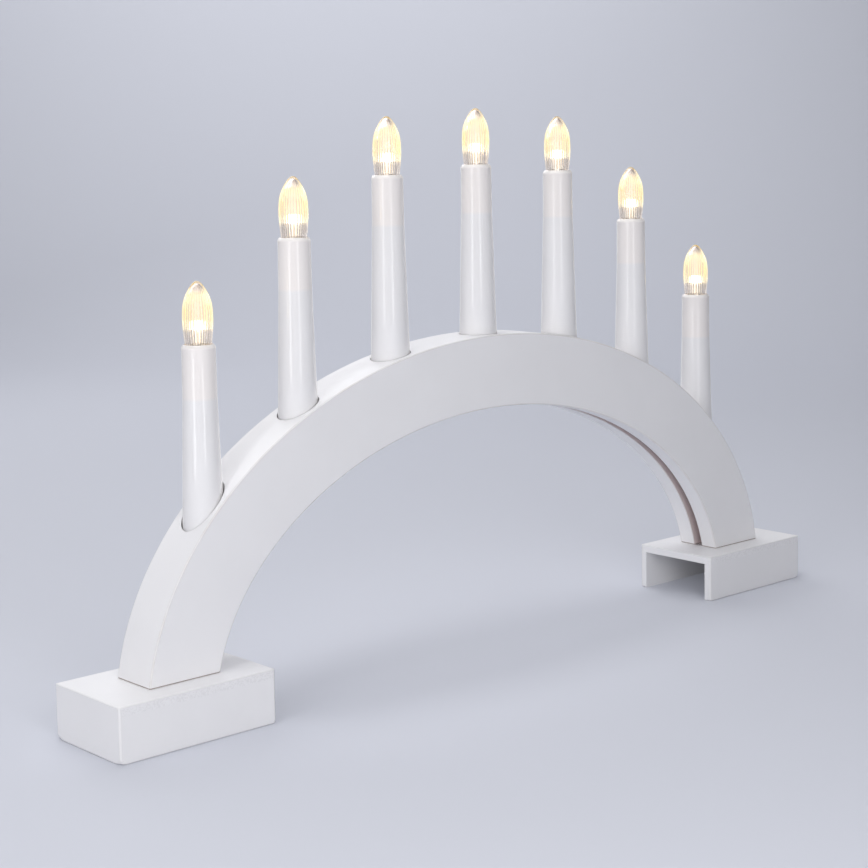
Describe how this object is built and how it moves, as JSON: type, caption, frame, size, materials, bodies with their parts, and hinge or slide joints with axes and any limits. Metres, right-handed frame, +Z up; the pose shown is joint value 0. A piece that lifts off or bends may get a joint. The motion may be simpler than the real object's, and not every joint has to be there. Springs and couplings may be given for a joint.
{
  "type": "electric advent candlestick",
  "caption": "White electric advent candlestick: a wooden arch on hollow feet carries upright candle tubes with ribbed, screw-in flame bulbs, fed from a battery box in one foot.",
  "frame": {"origin": "on the table, under the middle of the arch", "axes": "+X along the arch to the right foot, +Y across it to the back, +Z up"},
  "size_m": [0.51, 0.056, 0.2996],
  "materials": {
    "painted_wood": "white satin paint on smooth board",
    "candle_plastic": "glossy white, slightly translucent",
    "socket_plastic": "satin off-white",
    "bulb_glass": "clear, ribbed, lit from inside",
    "led_resin": "glowing warm yellow",
    "nickel_plate": "nickel plated",
    "wire_insulation": "soft white insulation",
    "foam_pad": "grey closed-cell foam",
    "black_plastic": "fine-grained black",
    "cell_wrap": "plain printed wrap"
  },
  "bodies": {
    "stand": {"arch": "painted_wood", "left_foot_top": "painted_wood", "left_foot_front_wall": "painted_wood", "left_foot_rear_wall": "painted_wood", "left_foot_end_wall": "painted_wood", "left_screw_front": "nickel_plate", "left_screw_rear": "nickel_plate", "right_foot_top": "painted_wood", "right_foot_front_wall": "painted_wood", "right_foot_rear_wall": "painted_wood", "right_foot_end_wall": "painted_wood", "right_screw_front": "nickel_plate", "right_screw_rear": "nickel_plate", "candle_tube_1": "candle_plastic", "candle_tube_2": "candle_plastic", "candle_tube_3": "candle_plastic", "candle_tube_4": "candle_plastic", "candle_tube_5": "candle_plastic", "candle_tube_6": "candle_plastic", "candle_tube_7": "candle_plastic", "lamp_socket_1": "socket_plastic", "lamp_socket_2": "socket_plastic", "lamp_socket_3": "socket_plastic", "lamp_socket_4": "socket_plastic", "lamp_socket_5": "socket_plastic", "lamp_socket_6": "socket_plastic", "lamp_socket_7": "socket_plastic", "wiring_loom": "wire_insulation", "tray_pad": "foam_pad", "battery_tray": "black_plastic", "contact_link": "nickel_plate", "contact_spring": "nickel_plate", "contact_plate": "nickel_plate", "battery_cell_1": "cell_wrap", "battery_cell_2": "cell_wrap", "switch_body": "black_plastic"},
    "bulb_1": {"bulb_shell_1": "bulb_glass", "bulb_base_1": "nickel_plate", "bulb_led_1": "led_resin"},
    "bulb_2": {"bulb_shell_2": "bulb_glass", "bulb_base_2": "nickel_plate", "bulb_led_2": "led_resin"},
    "bulb_3": {"bulb_shell_3": "bulb_glass", "bulb_base_3": "nickel_plate", "bulb_led_3": "led_resin"},
    "bulb_4": {"bulb_shell_4": "bulb_glass", "bulb_base_4": "nickel_plate", "bulb_led_4": "led_resin"},
    "bulb_5": {"bulb_shell_5": "bulb_glass", "bulb_base_5": "nickel_plate", "bulb_led_5": "led_resin"},
    "bulb_6": {"bulb_shell_6": "bulb_glass", "bulb_base_6": "nickel_plate", "bulb_led_6": "led_resin"},
    "bulb_7": {"bulb_shell_7": "bulb_glass", "bulb_base_7": "nickel_plate", "bulb_led_7": "led_resin"},
    "battery_cover": {"battery_cover": "black_plastic"},
    "switch": {"switch_slider": "socket_plastic"}
  },
  "joints": [
    {"name": "bulb_1_turn", "type": "hinge", "parent": "stand", "child": "bulb_1", "pos_m": [-0.18624, 0, 0.18599], "axis": [0, 0, 1], "range_deg": [0, 1440]},
    {"name": "bulb_2_turn", "type": "hinge", "parent": "stand", "child": "bulb_2", "pos_m": [-0.12654, 0, 0.2349], "axis": [0, 0, 1], "range_deg": [0, 1440]},
    {"name": "bulb_3_turn", "type": "hinge", "parent": "stand", "child": "bulb_3", "pos_m": [-0.06408, 0, 0.2647], "axis": [0, 0, 1], "range_deg": [0, 1440]},
    {"name": "bulb_4_turn", "type": "hinge", "parent": "stand", "child": "bulb_4", "pos_m": [0, 0, 0.2691], "axis": [0, 0, 1], "range_deg": [0, 1440]},
    {"name": "bulb_5_turn", "type": "hinge", "parent": "stand", "child": "bulb_5", "pos_m": [0.06408, 0, 0.2647], "axis": [0, 0, 1], "range_deg": [0, 1440]},
    {"name": "bulb_6_turn", "type": "hinge", "parent": "stand", "child": "bulb_6", "pos_m": [0.12654, 0, 0.2349], "axis": [0, 0, 1], "range_deg": [0, 1440]},
    {"name": "bulb_7_turn", "type": "hinge", "parent": "stand", "child": "bulb_7", "pos_m": [0.18624, 0, 0.18599], "axis": [0, 0, 1], "range_deg": [0, 1440]},
    {"name": "battery_cover_slide", "type": "slide", "parent": "stand", "child": "battery_cover", "axis": [1, 0, 0], "range_m": [0, 0.07]},
    {"name": "switch_slide", "type": "slide", "parent": "stand", "child": "switch", "axis": [0, 1, 0], "range_m": [0, 0.0035]}
  ]
}
